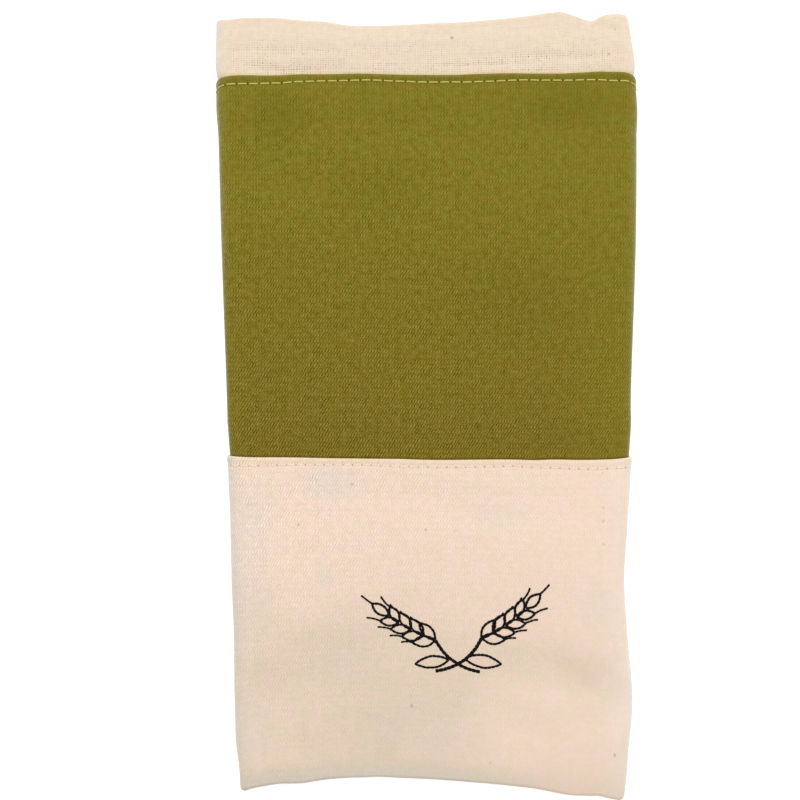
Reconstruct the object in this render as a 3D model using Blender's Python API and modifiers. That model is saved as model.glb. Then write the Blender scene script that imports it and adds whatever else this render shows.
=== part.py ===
"""Cloth bread bag, folded flat and lying on its back.

The bag is a flattened tube of three cloths sewn one above the other: a natural twill body that is
closed at the bottom, a wide olive band and a soft plain-weave collar round the mouth. Both sides are
turned under it, so a section across the bundle runs front, back, back, front from top to bottom.

Metres. X runs across the bundle, +Y up the bag towards its mouth, and it lies on Z = 0.
"""

import math
from bisect import bisect_right
from collections import namedtuple

import bmesh
import bpy
from mathutils import Vector

MM = 0.001

# Cloth
CLOTH = 1.0 * MM  # thickness of every ply
PLY_GAP = 0.3 * MM  # between two plies sewn together
LAP = 8.0 * MM  # how far a cloth's lower edge runs in under the cloth below it
LAP_DEPTH = CLOTH + PLY_GAP  # how much deeper that edge lies
LAP_RIDGE = 0.6 * MM  # the doubled cloth stands this far proud on the face and the sides
RELAX = 14.0 * MM  # height over which the cloth comes level again
MERGE = 0.001 * MM  # the front and back plies are one cloth where they meet

# Heights of the three cloths, from seam to seam
BODY_HEIGHT = 118.0 * MM
BAND_HEIGHT = 138.0 * MM
COLLAR_HEIGHT = 21.0 * MM
UPPER_SEAM_HEIGHT = BODY_HEIGHT + BAND_HEIGHT
BAG_HEIGHT = UPPER_SEAM_HEIGHT + COLLAR_HEIGHT

# The folded section: the flattened tube, and the same again where its sides are turned under
SIDE_RADIUS = 2.5 * MM  # of the tube's own side folds
TUBE = 2 * SIDE_RADIUS  # thickness of the flattened tube
BACK_GAP = 0.5 * MM  # between the bag's back and its turned-under back
THICKNESS = 2 * TUBE + BACK_GAP
OUTER_RADIUS = THICKNESS / 2  # the front turns under round this
INNER_RADIUS = BACK_GAP / 2  # the back turns under round this

# Columns of cloth across the section, from one side fold to the other
SIDE_COLUMNS = 2
FLAP_COLUMNS = 4
TURN_COLUMNS = 6
FACE_COLUMNS = 26
COLUMNS = 2 * (SIDE_COLUMNS + FLAP_COLUMNS + TURN_COLUMNS) + FACE_COLUMNS

# Rows of each cloth, as heights in mm above the bottom fold
BODY_ROWS = (118, 110, 103, 96, 84, 70, 56, 42, 29, 17, 7, 0)
BAND_ROWS = (256, 248, 241, 234, 220, 204, 188, 172, 156, 142, 132, 125, 118, 110)
COLLAR_ROWS = (277, 270, 263, 256, 248)
BOTTOM_TURN_ROWS = 4

# The tables below are in mm, and their zero lies this far from the middle of the bundle.
TABLE_X = 0.2 * MM
TABLE_Y = -0.6 * MM

# The two long edges of the bundle, from the bottom to the mouth
Outline = namedtuple("Outline", "y left right")
OUTLINE = (
    Outline(-141.0, -67.8, 70.0),
    Outline(-135.0, -68.0, 71.3),
    Outline(-126.0, -68.4, 72.4),
    Outline(-115.0, -69.6, 73.1),
    Outline(-106.0, -69.8, 74.1),
    Outline(-98.0, -70.0, 74.4),
    Outline(-90.0, -70.0, 73.8),
    Outline(-82.0, -70.1, 72.9),
    Outline(-73.0, -70.3, 72.1),
    Outline(-64.0, -70.8, 71.4),
    Outline(-56.0, -71.0, 71.3),
    Outline(-40.0, -71.4, 72.4),
    Outline(-24.0, -71.5, 72.9),
    Outline(-16.5, -72.2, 73.7),
    Outline(-8.0, -72.3, 73.7),
    Outline(4.0, -72.6, 73.6),
    Outline(60.0, -74.5, 75.3),
    Outline(104.0, -75.7, 75.6),
    Outline(113.0, -75.8, 75.0),
    Outline(118.0, -75.9, 74.9),
    Outline(121.0, -76.9, 75.7),
    Outline(125.0, -77.2, 75.5),
    Outline(130.0, -76.7, 74.2),
    Outline(137.5, -76.7, 73.0),
    Outline(142.0, -77.0, 72.0),
)

# The tube's side folds, which lie underneath and nearly meet
SideFolds = namedtuple("SideFolds", "y left right")
SIDE_FOLDS = (
    SideFolds(-140.0, -4.6, 5.4),
    SideFolds(-60.0, -6.2, 4.2),
    SideFolds(20.0, -4.4, 5.0),
    SideFolds(80.0, -4.8, 5.6),
    SideFolds(140.0, -6.0, 4.4),
)

# The bottom fold, the two seams and the mouth, from side to side on the front
Lines = namedtuple("Lines", "x bottom lower_seam upper_seam mouth")
LINES = (
    Lines(-77.0, -137.4, -16.2, 117.2, 140.6),
    Lines(-75.0, -137.4, -16.4, 118.0, 140.1),
    Lines(-72.0, -137.3, -16.7, 118.5, 139.8),
    Lines(-69.0, -137.1, -16.9, 118.8, 140.1),
    Lines(-65.0, -135.7, -17.1, 118.9, 140.5),
    Lines(-60.0, -134.4, -17.2, 118.9, 140.5),
    Lines(-53.0, -133.4, -17.2, 119.0, 140.3),
    Lines(-45.0, -133.2, -17.3, 119.4, 139.5),
    Lines(-37.0, -132.1, -17.5, 119.4, 139.1),
    Lines(-29.0, -131.6, -17.6, 119.5, 137.8),
    Lines(-20.0, -131.7, -17.7, 119.4, 137.5),
    Lines(-10.0, -131.6, -17.8, 119.1, 137.8),
    Lines(0.0, -131.9, -18.1, 119.0, 138.4),
    Lines(10.0, -132.6, -18.1, 119.0, 138.8),
    Lines(20.0, -133.4, -18.0, 119.4, 139.5),
    Lines(30.0, -134.2, -18.0, 119.6, 140.4),
    Lines(38.0, -135.0, -18.2, 119.5, 141.4),
    Lines(44.0, -136.2, -18.0, 119.5, 142.3),
    Lines(48.0, -137.0, -18.0, 119.5, 142.5),
    Lines(52.0, -137.6, -18.1, 119.7, 141.4),
    Lines(56.0, -137.7, -18.1, 119.9, 139.9),
    Lines(59.0, -137.8, -18.1, 120.1, 139.2),
    Lines(62.0, -137.8, -18.0, 120.2, 140.8),
    Lines(65.0, -138.6, -17.9, 120.1, 141.7),
    Lines(68.0, -139.2, -17.7, 120.1, 141.9),
    Lines(71.0, -139.8, -17.4, 119.9, 141.9),
    Lines(74.0, -140.2, -17.2, 119.1, 141.6),
    Lines(77.0, -140.4, -16.9, 117.6, 140.8),
)
# The same lines run straight across the turned-under plies
STRAIGHT = Lines(0.0, -130.5, -16.6, 117.6, 137.0)

# Soft folds pressed into the front, from one place to another
SoftFold = namedtuple("SoftFold", "start stop half_width rise")
SOFT_FOLDS = (
    SoftFold((-66.0, -108.0), (-8.0, -80.0), 12.0, -0.9),
    SoftFold((36.0, -88.0), (76.0, -106.0), 9.0, -0.9),
    SoftFold((-18.0, -104.0), (-19.0, -136.0), 10.0, -0.7),
    SoftFold((-50.0, -126.0), (-46.0, -118.0), 12.0, 0.5),
    SoftFold((44.0, -122.0), (62.0, -120.0), 14.0, 0.7),
    SoftFold((-54.0, -58.0), (50.0, -54.0), 24.0, 1.0),
    SoftFold((-60.0, 66.0), (62.0, 60.0), 30.0, 0.8),
    SoftFold((-66.0, 84.0), (-30.0, 78.0), 10.0, -0.6),
    SoftFold((-58.0, 120.5), (-32.0, 120.0), 3.5, -0.5),
    SoftFold((-40.0, 131.0), (66.0, 129.0), 7.0, 0.3),
)

# Share of its thickness that the bundle keeps, by height above the bottom fold
Pressed = namedtuple("Pressed", "height share")
PRESSED = (
    Pressed(0.0, 0.70),
    Pressed(10.0, 0.80),
    Pressed(35.0, 0.94),
    Pressed(75.0, 1.0),
    Pressed(256.0, 1.0),
    Pressed(268.0, 0.92),
    Pressed(277.0, 0.80),
)


def on_curve(table, place, column):
    """Value of a table's column on the smooth curve over its first column, in the table's units."""
    places = [row[0] for row in table]
    values = [getattr(row, column) for row in table]
    last = len(table) - 1
    place = min(max(place, places[0]), places[last])
    before = min(bisect_right(places, place) - 1, last - 1)
    after = before + 1

    def slope(row):
        low, high = max(row - 1, 0), min(row + 1, last)
        return (values[high] - values[low]) / (places[high] - places[low])

    span = places[after] - places[before]
    share = (place - places[before]) / span
    leaving = share * (1 - share) ** 2 * span * slope(before)
    arriving = share**2 * (share - 1) * span * slope(after)
    return values[before] + eased(share) * (values[after] - values[before]) + leaving + arriving


def eased(share):
    """0 to 1 with no kink at either end."""
    share = min(max(share, 0.0), 1.0)
    return share * share * (3 - 2 * share)


def side_half(side, edge, side_fold, back):
    """One half of the section, from the side fold to where the face begins: (point, inward) pairs.

    side is -1 on the left and +1 on the right. A point is (x, z), and inward points into the bag.
    """
    up = 1 if back else -1
    fold_centre = side_fold + side * SIDE_RADIUS
    turn_centre = edge - side * OUTER_RADIUS
    radius = INNER_RADIUS if back else OUTER_RADIUS
    flap_z = TUBE if back else 0.0
    half = []
    for column in range(SIDE_COLUMNS):
        angle = math.pi / 2 * column / SIDE_COLUMNS
        x = fold_centre - side * SIDE_RADIUS * math.cos(angle)
        z = SIDE_RADIUS + up * SIDE_RADIUS * math.sin(angle)
        half.append(((x, z), (side * math.cos(angle), -up * math.sin(angle))))
    for column in range(FLAP_COLUMNS):
        x = fold_centre + (turn_centre - fold_centre) * column / FLAP_COLUMNS
        half.append(((x, flap_z), (0.0, -up)))
    for column in range(TURN_COLUMNS):
        angle = math.pi * column / TURN_COLUMNS
        x = turn_centre + side * radius * math.sin(angle)
        z = OUTER_RADIUS - radius * math.cos(angle)
        half.append(((x, z), (up * side * math.sin(angle), -up * math.cos(angle))))
    return half


def section(y, back):
    """The front or back cloth across the bundle at one height: (point, inward) for each column."""
    left_edge = on_curve(OUTLINE, y / MM, "left") * MM
    right_edge = on_curve(OUTLINE, y / MM, "right") * MM
    left = side_half(-1, left_edge, on_curve(SIDE_FOLDS, y / MM, "left") * MM, back)
    right = side_half(1, right_edge, on_curve(SIDE_FOLDS, y / MM, "right") * MM, back)
    face_z = THICKNESS - TUBE if back else THICKNESS
    start, stop = left_edge + OUTER_RADIUS, right_edge - OUTER_RADIUS
    face = []
    for column in range(FACE_COLUMNS + 1):
        x = start + (stop - start) * column / FACE_COLUMNS
        face.append(((x, face_z), (0.0, 1 if back else -1)))
    return left + face + right[::-1]


def height_to_y(height, x, z):
    """Y of a place on the cloth: the lines are uneven as far as they show, straight underneath."""
    shown = eased(z / OUTER_RADIUS)
    ys = []
    for line in Lines._fields[1:]:
        straight = getattr(STRAIGHT, line)
        ys.append((straight + (on_curve(LINES, x / MM, line) - straight) * shown) * MM)
    heights = (0.0, BODY_HEIGHT, UPPER_SEAM_HEIGHT, BAG_HEIGHT)
    row = min(bisect_right(heights, height), len(heights) - 1) - 1
    share = (height - heights[row]) / (heights[row + 1] - heights[row])
    return ys[row] + (ys[row + 1] - ys[row]) * share


def fold_rise(x, y):
    """How far the soft folds raise or lower the front at a place."""
    total = 0.0
    place = Vector((x, y)) / MM
    for fold in SOFT_FOLDS:
        start = Vector(fold.start)
        run = Vector(fold.stop) - start
        share = min(max((place - start).dot(run) / run.length_squared, 0.0), 1.0)
        away = (place - start - run * share).length / fold.half_width
        total += fold.rise * MM * math.exp(-away * away)
    return total


def ridge_share(column):
    """How much of a seam's ridge shows at a column: none on the floor, all of it on the face."""
    from_side_fold = min(column, COLUMNS - column)
    return eased((from_side_fold - SIDE_COLUMNS - FLAP_COLUMNS) / (TURN_COLUMNS / 2))


def seam_ridge(height):
    """How far the doubled cloth of the nearer seam stands proud at a height."""
    away = min(
        max(seam - LAP - height, height - seam, 0.0) for seam in (BODY_HEIGHT, UPPER_SEAM_HEIGHT)
    )
    return LAP_RIDGE * (1 - eased(away / RELAX))


def cloth_point(column, height, back, lap_height):
    """Where one column of the front or back cloth lies at one height.

    The cloth's lower edge runs in under its neighbour at lap_height, where it has one.
    """
    depth = 0.0
    if lap_height is not None:
        depth = LAP_DEPTH * (1 - eased((height - lap_height) / RELAX))
    if not back:
        depth -= seam_ridge(height) * ridge_share(column)
    (x, z), (inward_x, inward_z) = section(height_to_y(height, 0.0, THICKNESS), back)[column]
    x += inward_x * depth
    z += inward_z * depth
    y = height_to_y(height, x, z)
    kept = on_curve(PRESSED, height / MM, "share")
    kept += fold_rise(x, y) / THICKNESS * eased(z / THICKNESS)
    return Vector((x + TABLE_X, y + TABLE_Y, z * kept))


def cloth_rows(rows, back, lap_height=None):
    """Points of the front or back cloth, one row of them for each height in mm."""
    return [
        [cloth_point(column, height * MM, back, lap_height) for column in range(COLUMNS + 1)]
        for height in rows
    ]


def hang_rows(mesh, points):
    """Adds a grid of cloth to the mesh and lays its rows and columns on the points."""
    rows, columns = len(points) - 1, len(points[0]) - 1
    grid = bmesh.ops.create_grid(mesh, x_segments=columns, y_segments=rows, size=0.5)
    for vertex in grid["verts"]:
        column = round((vertex.co.x + 0.5) * columns)
        row = round((vertex.co.y + 0.5) * rows)
        vertex.co = points[row][column]


def sewn_cloth(name, grids, material, collection):
    """A cloth of one or two grids, made one down the tube's side folds and given its thickness."""
    mesh = bmesh.new()
    for points in grids:
        hang_rows(mesh, points)
    bmesh.ops.remove_doubles(mesh, verts=mesh.verts, dist=MERGE)
    bmesh.ops.recalc_face_normals(mesh, faces=mesh.faces)
    data = bpy.data.meshes.new(name)
    mesh.to_mesh(data)
    mesh.free()
    data.shade_smooth()
    data.materials.append(material)
    cloth = bpy.data.objects.new(name, data)
    collection.objects.link(cloth)
    wall = cloth.modifiers.new("wall", "SOLIDIFY")
    wall.thickness = CLOTH
    wall.offset = -1
    wall.use_even_offset = True
    wall.use_quality_normals = True


def body(material, collection):
    """Lower cloth: one length that runs down the front, round the bottom fold and up the back."""
    front = cloth_rows(BODY_ROWS, back=False)
    back = cloth_rows(reversed(BODY_ROWS), back=True)
    turn = []
    for row in range(1, BOTTOM_TURN_ROWS):
        angle = math.pi * row / BOTTOM_TURN_ROWS
        points = []
        for front_point, back_point in zip(front[-1], back[0]):
            half = (front_point - back_point) / 2
            bulge = Vector((0.0, -half.length * math.sin(angle), 0.0))
            points.append(back_point + half + half * math.cos(angle) + bulge)
        turn.append(points)
    sewn_cloth("body", [front + turn + back], material, collection)


def upper_cloth(name, rows, lap_height, material, collection):
    """A tube of cloth whose lower edge lies inside the cloth below it."""
    grids = [cloth_rows(rows, back, lap_height) for back in (False, True)]
    sewn_cloth(name, grids, material, collection)


def cloth_material(name, colour, roughness):
    material = bpy.data.materials.new(name)
    material.use_nodes = True
    shader = material.node_tree.nodes["Principled BSDF"]
    shader.inputs["Base Color"].default_value = (*colour, 1.0)
    shader.inputs["Roughness"].default_value = roughness
    shader.inputs["Metallic"].default_value = 0.0
    material.diffuse_color = (*colour, 1.0)
    return material


def build():
    for thing in list(bpy.data.objects):
        bpy.data.objects.remove(thing)
    collection = bpy.data.collections.new("bread_bag")
    bpy.context.scene.collection.children.link(collection)
    natural = cloth_material("natural_twill", (0.84, 0.68, 0.54), 0.9)
    olive = cloth_material("olive_twill", (0.21, 0.17, 0.02), 0.85)
    plain = cloth_material("plain_weave", (0.86, 0.72, 0.55), 0.9)
    body(natural, collection)
    upper_cloth("band", BAND_ROWS, BODY_HEIGHT, olive, collection)
    upper_cloth("collar", COLLAR_ROWS, UPPER_SEAM_HEIGHT, plain, collection)


build()
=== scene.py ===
"""Cloth bread bag, folded flat: twill body, olive band and plain-weave collar, topstitched."""

import math
import random
from collections import namedtuple
from functools import reduce

import bmesh
import bpy
import numpy as np
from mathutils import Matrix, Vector, noise


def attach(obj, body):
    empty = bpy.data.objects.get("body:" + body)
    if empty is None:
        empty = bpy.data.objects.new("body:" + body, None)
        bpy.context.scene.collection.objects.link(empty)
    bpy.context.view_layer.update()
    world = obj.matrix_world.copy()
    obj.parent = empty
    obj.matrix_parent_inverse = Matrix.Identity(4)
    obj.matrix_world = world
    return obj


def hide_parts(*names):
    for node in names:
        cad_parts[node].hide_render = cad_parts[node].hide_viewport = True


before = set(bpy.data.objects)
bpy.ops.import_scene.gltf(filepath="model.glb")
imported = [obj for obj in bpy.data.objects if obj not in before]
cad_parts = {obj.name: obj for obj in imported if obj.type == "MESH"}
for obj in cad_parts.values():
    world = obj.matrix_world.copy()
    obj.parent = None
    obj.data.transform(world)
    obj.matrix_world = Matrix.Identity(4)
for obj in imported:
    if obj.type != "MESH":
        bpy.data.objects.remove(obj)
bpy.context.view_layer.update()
scene = bpy.context.scene

MM = 0.001

# ----------------------------------------
# Body cloth. One length of undyed twill that runs down the front, round the bottom fold and up
# the back, with its mouth edge turned under for the seam. The bag lies on its back with both
# sides turned under, so all its cloths share one fold: that fold is worked out here.

SIDE_RADIUS = 2.5 * MM
TUBE = 2 * SIDE_RADIUS
BACK_GAP = 0.5 * MM
THICKNESS = 2 * TUBE + BACK_GAP
OUTER_RADIUS = THICKNESS / 2
INNER_RADIUS = BACK_GAP / 2
BODY_HEIGHT = 118.0 * MM
UPPER_SEAM_HEIGHT = 256.0 * MM
BAG_HEIGHT = 277.0 * MM
LAP = 8.0 * MM
LAP_RIDGE = 0.6 * MM
RELAX = 14.0 * MM

# The tables are in mm, and their zero lies this far from the frame's
TABLE_X = 0.2 * MM
TABLE_Y = -0.6 * MM

# The sides of the bundle from its bottom to its mouth, and the tube's side folds under it
Sides = namedtuple("Sides", "y left right")
OUTLINE = (
    Sides(-141, -67.8, 70),
    Sides(-135, -68, 71.3),
    Sides(-126, -68.4, 72.4),
    Sides(-115, -69.6, 73.1),
    Sides(-106, -69.8, 74.1),
    Sides(-98, -70, 74.4),
    Sides(-90, -70, 73.8),
    Sides(-82, -70.1, 72.9),
    Sides(-73, -70.3, 72.1),
    Sides(-64, -70.8, 71.4),
    Sides(-56, -71, 71.3),
    Sides(-40, -71.4, 72.4),
    Sides(-24, -71.5, 72.9),
    Sides(-16.5, -72.2, 73.7),
    Sides(-8, -72.3, 73.7),
    Sides(4, -72.6, 73.6),
    Sides(60, -74.5, 75.3),
    Sides(104, -75.7, 75.6),
    Sides(113, -75.8, 75),
    Sides(118, -75.9, 74.9),
    Sides(121, -76.9, 75.7),
    Sides(125, -77.2, 75.5),
    Sides(130, -76.7, 74.2),
    Sides(137.5, -76.7, 73),
    Sides(142, -77, 72),
)
SIDE_FOLDS = (
    Sides(-140, -4.6, 5.4),
    Sides(-60, -6.2, 4.2),
    Sides(20, -4.4, 5),
    Sides(80, -4.8, 5.6),
    Sides(140, -6, 4.4),
)
# The bottom, the seams and the mouth from left to right, and where they run underneath
Lines = namedtuple("Lines", "x bottom lower_seam upper_seam mouth")
LINES = (
    Lines(-77, -137.4, -16.2, 117.2, 140.6),
    Lines(-75, -137.4, -16.4, 118, 140.1),
    Lines(-72, -137.3, -16.7, 118.5, 139.8),
    Lines(-69, -137.1, -16.9, 118.8, 140.1),
    Lines(-65, -135.7, -17.1, 118.9, 140.5),
    Lines(-60, -134.4, -17.2, 118.9, 140.5),
    Lines(-53, -133.4, -17.2, 119, 140.3),
    Lines(-45, -133.2, -17.3, 119.4, 139.5),
    Lines(-37, -132.1, -17.5, 119.4, 139.1),
    Lines(-29, -131.6, -17.6, 119.5, 137.8),
    Lines(-20, -131.7, -17.7, 119.4, 137.5),
    Lines(-10, -131.6, -17.8, 119.1, 137.8),
    Lines(0, -131.9, -18.1, 119, 138.4),
    Lines(10, -132.6, -18.1, 119, 138.8),
    Lines(20, -133.4, -18, 119.4, 139.5),
    Lines(30, -134.2, -18, 119.6, 140.4),
    Lines(38, -135, -18.2, 119.5, 141.4),
    Lines(44, -136.2, -18, 119.5, 142.3),
    Lines(48, -137, -18, 119.5, 142.5),
    Lines(52, -137.6, -18.1, 119.7, 141.4),
    Lines(56, -137.7, -18.1, 119.9, 139.9),
    Lines(59, -137.8, -18.1, 120.1, 139.2),
    Lines(62, -137.8, -18, 120.2, 140.8),
    Lines(65, -138.6, -17.9, 120.1, 141.7),
    Lines(68, -139.2, -17.7, 120.1, 141.9),
    Lines(71, -139.8, -17.4, 119.9, 141.9),
    Lines(74, -140.2, -17.2, 119.1, 141.6),
    Lines(77, -140.4, -16.9, 117.6, 140.8),
)
STRAIGHT = Lines(0.0, -130.5, -16.6, 117.6, 137.0)
# How much of its thickness the bundle keeps, by height up the cloth
Pressed = namedtuple("Pressed", "height share")
PRESSED = (
    Pressed(0, 0.70),
    Pressed(10, 0.80),
    Pressed(35, 0.94),
    Pressed(75, 1),
    Pressed(256, 1),
    Pressed(268, 0.92),
    Pressed(277, 0.80),
)

# Troughs and ridges, each from one place to another: the wide ones bend all the layers
Fold = namedtuple("Fold", "start stop half_width rise")
SOFT_FOLDS = (
    Fold((-66, -108), (-8, -80), 12, -0.9),
    Fold((36, -88), (76, -106), 9, -0.9),
    Fold((-18, -104), (-19, -136), 10, -0.7),
    Fold((-50, -126), (-46, -118), 12, 0.5),
    Fold((44, -122), (62, -120), 14, 0.7),
    Fold((-54, -58), (50, -54), 24, 1),
    Fold((-60, 66), (62, 60), 30, 0.8),
    Fold((-66, 84), (-30, 78), 10, -0.6),
    Fold((-58, 120.5), (-32, 120), 3.5, -0.5),
    Fold((-40, 131), (66, 129), 7, 0.3),
)


def eased(share):
    """0 to 1 with no kink at either end."""
    share = np.clip(share, 0.0, 1.0)
    return share * share * (3 - 2 * share)


def on_curve(table, column, place):
    """Values of a table's column on the smooth curve over its first column, in metres."""
    places = np.array([row[0] for row in table])
    values = np.array([getattr(row, column) for row in table])
    rows = np.arange(len(table))
    low, high = np.maximum(rows - 1, 0), np.minimum(rows + 1, len(table) - 1)
    slopes = (values[high] - values[low]) / (places[high] - places[low])
    place = np.clip(np.asarray(place, dtype=float) / MM, places[0], places[-1])
    before = np.clip(np.searchsorted(places, place, side="right") - 1, 0, len(table) - 2)
    span = places[before + 1] - places[before]
    share = (place - places[before]) / span
    value = values[before] + eased(share) * (values[before + 1] - values[before])
    value += share * (1 - share) ** 2 * span * slopes[before]
    value += share**2 * (share - 1) * span * slopes[before + 1]
    return value * MM


def height_to_y(height, x, z):
    """Y of places on the cloth: the lines are uneven as far as they show, straight underneath."""
    shown = eased(z / OUTER_RADIUS)
    heights = (0.0, BODY_HEIGHT, UPPER_SEAM_HEIGHT, BAG_HEIGHT)
    ys = []
    for line in Lines._fields[1:]:
        straight = getattr(STRAIGHT, line) * MM
        ys.append(straight + (on_curve(LINES, line, x) - straight) * shown)
    row = np.clip(np.searchsorted(heights, height, side="right") - 1, 0, len(heights) - 2)
    share = (height - np.take(heights, row)) / (np.take(heights, row + 1) - np.take(heights, row))
    low = np.choose(row, ys[:-1])
    return low + (np.choose(row, ys[1:]) - low) * share


def stretches(y, back):
    """For the left and the right: where the face ends, where the flap does, the side fold's x."""
    radius = INNER_RADIUS if back else OUTER_RADIUS
    found = []
    for side, column in ((-1, "left"), (1, "right")):
        turn_x = on_curve(OUTLINE, column, y) - side * OUTER_RADIUS
        fold_x = on_curve(SIDE_FOLDS, column, y) + side * SIDE_RADIUS
        flap_start = side * turn_x + math.pi * radius
        found.append((turn_x, fold_x, flap_start, flap_start + side * (turn_x - fold_x)))
    return found


def section_at(y, u, back):
    """Places on the outside of the folded tube: x, z, the way in, and the ridge's share.

    u is measured along the cloth from the middle of the face, or of the back, to either side.
    """
    left, right = stretches(y, back)
    turn_x, fold_x, flap_start, flap_stop = (np.where(u < 0, a, b) for a, b in zip(left, right))
    side = np.where(u < 0, -1.0, 1.0)
    radius = INNER_RADIUS if back else OUTER_RADIUS
    inward = 1.0 if back else -1.0
    along = np.abs(u)
    turn = np.clip((along - side * turn_x) / radius, 0.0, math.pi)
    fold = np.clip((along - flap_stop) / SIDE_RADIUS, 0.0, math.pi / 2)
    x = turn_x + side * radius * np.sin(turn)
    z = OUTER_RADIUS + radius * np.cos(turn)
    x = np.where(along < side * turn_x, u, x)
    x = x - side * np.clip(along - flap_start, 0.0, flap_stop - flap_start)
    x = x - side * SIDE_RADIUS * np.sin(fold)
    z = z - inward * SIDE_RADIUS * (1 - np.cos(fold))
    in_x = np.where(along > flap_stop, side * np.sin(fold), inward * side * np.sin(turn))
    in_z = np.where(along > flap_stop, -inward * np.cos(fold), inward * np.cos(turn))
    return x, z, in_x, in_z, eased((math.pi - turn) / (math.pi / 2))


def raised_by(folds, x, y):
    """How far a table of folds raises or lowers the cloth at each place."""
    total = np.zeros(np.shape(x))
    for fold in folds:
        start = np.array(fold.start) * MM
        run = np.array(fold.stop) * MM - start
        share = ((x - start[0]) * run[0] + (y - start[1]) * run[1]) / (run @ run)
        share = np.clip(share, 0.0, 1.0)
        away = np.hypot(x - start[0] - run[0] * share, y - start[1] - run[1] * share)
        total += fold.rise * MM * np.exp(-((away / (fold.half_width * MM)) ** 2))
    return total


# The narrow ones are in the front alone
CREASES = (
    Fold((-66, -30), (-20, -36), 6, 0.15),
    Fold((10, -28), (64, -34), 7, 0.15),
    Fold((-58, -96), (-40, -128), 5, -0.25),
    Fold((-20, -112), (-18, -132), 4, -0.30),
    Fold((20, -112), (34, -134), 6, 0.20),
    Fold((72, -88), (58, -100), 4, -0.25),
    Fold((-68, -100), (-60, -134), 4, 0.25),
    Fold((61.5, 136.8), (66, 135.8), 1.1, -0.18),
    Fold((62.5, 139), (69, 138.6), 2.2, 0.16),
    Fold((-58, 121), (-42, 120.6), 0.9, -0.12),
    Fold((6, 122.4), (34, 123.2), 0.9, -0.15),
    Fold((40, 125.6), (60, 125.2), 1.2, -0.15),
    Fold((-68, 127.6), (-34, 128.4), 1.6, -0.12),
    Fold((-28, 129.6), (12, 129.8), 1.4, -0.08),
    Fold((14, 126), (70, 126.6), 1.5, -0.12),
)
RIPPLES = ((24.0 * MM, 0.16 * MM), (8.0 * MM, 0.04 * MM))  # size and depth


def ripples(x, y):
    """The cloth's own slight unevenness, which no fold explains."""
    depths = np.zeros(np.shape(x))
    for size, depth in RIPPLES:
        flat = [
            noise.noise(Vector((a / size, b / size, size / MM)))
            for a, b in zip(np.ravel(x), np.ravel(y))
        ]
        depths += depth * np.reshape(flat, np.shape(x))
    return depths


def seam_ridge(height):
    """How far the doubled cloth of the nearer seam stands proud."""
    away = [
        np.maximum(np.maximum(seam - LAP - height, height - seam), 0.0)
        for seam in (BODY_HEIGHT, UPPER_SEAM_HEIGHT)
    ]
    return LAP_RIDGE * (1 - eased(np.minimum(*away) / RELAX))


def lay(u, height, depth, back=False):
    """Lays flat cloth on the folded bag: (x, y, z) for places u across and height up it."""
    u, height, depth = (np.asarray(a, dtype=float) for a in np.broadcast_arrays(u, height, depth))
    middle_y = height_to_y(height, 0.0, THICKNESS)
    x, z, in_x, in_z, ridge = section_at(middle_y, u, back)
    if not back:
        depth = depth - seam_ridge(height) * ridge
    x = x + in_x * depth
    z = z + in_z * depth
    y = height_to_y(height, x, z)
    shown = eased(z / THICKNESS)
    kept = on_curve(PRESSED, "share", height) / MM
    z = z * (kept + raised_by(SOFT_FOLDS, x, y) / THICKNESS * shown)
    if not back:
        z = z + (raised_by(CREASES, x, y) + ripples(x, y)) * shown
    return np.stack([x + TABLE_X, y + TABLE_Y, z], axis=-1)


# Cloth columns from one side fold to the other: side fold, flap, turn, face, turn, flap, fold
FRONT_COLUMNS = (4, 12, 10, 120, 10, 12, 4)
BACK_COLUMNS = (4, 8, 8, 30, 8, 8, 4)


def columns_at(height, counts, back):
    """u of every column of cloth at one height, from the left side fold to the right one."""
    left, right = stretches(height_to_y(height, 0.0, THICKNESS), back)
    ends = []
    for turn_x, fold_x, flap_start, flap_stop in (left, right):
        side_fold = flap_stop + SIDE_RADIUS * math.pi / 2
        ends.append([abs(float(turn_x)), float(flap_start), float(flap_stop), float(side_fold)])
    marks = [-end for end in reversed(ends[0])] + ends[1]
    u = [np.linspace(a, b, n + 1)[:-1] for a, b, n in zip(marks, marks[1:], counts)]
    return np.append(np.concatenate(u), marks[-1])


# A row of cloth: its height up the bag, how deep it lies, and its own length from the bottom
Row = namedtuple("Row", "height depth along")
EDGE_ROLL = 0.2 * MM
ROLL_LENGTH = 1.3 * MM
HEM_FOLD_STEPS = 7
CLOSE_STEP = 0.4 * MM
CLOSE_LENGTH = 6.0 * MM


def rolled(height, edge):
    """How far a turned edge bends down before its fold."""
    return EDGE_ROLL * (1 - eased((edge - height) / ROLL_LENGTH))


def hem(edge, turned, ply, cloth):
    """Rows of a turned-under edge, from the turned end up and over the fold.

    ply is how far apart the middles of the two plies lie, and the cloth ends level with edge.
    """
    radius = ply / 2
    top = edge - radius - cloth / 2
    heights = np.append(np.linspace(edge - turned, top - 1.5 * MM, 6), (top - 0.7 * MM, top))
    rows = [
        Row(height, 1.5 * ply + rolled(height, edge), 2 * edge - height) for height in heights
    ]
    for angle in np.linspace(0, math.pi, HEM_FOLD_STEPS + 1)[1:-1]:
        height = top + radius * math.sin(angle)
        depth = ply + radius * math.cos(angle) + rolled(height, edge)
        rows.append(Row(height, depth, edge + radius * math.cos(angle)))
    return rows


def face_rows(edge, bottom, ply, cloth, step):
    """Rows of the outer ply from its edge down, close together as far as the topstitching."""
    top = edge - (ply + cloth) / 2
    near = np.arange(top, edge - CLOSE_LENGTH, -CLOSE_STEP)
    far = np.linspace(near[-1], bottom, int((near[-1] - bottom) / step) + 1)[1:]
    heights = np.concatenate([near, far])
    return [Row(height, ply / 2 + rolled(height, edge), height) for height in heights]


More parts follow.
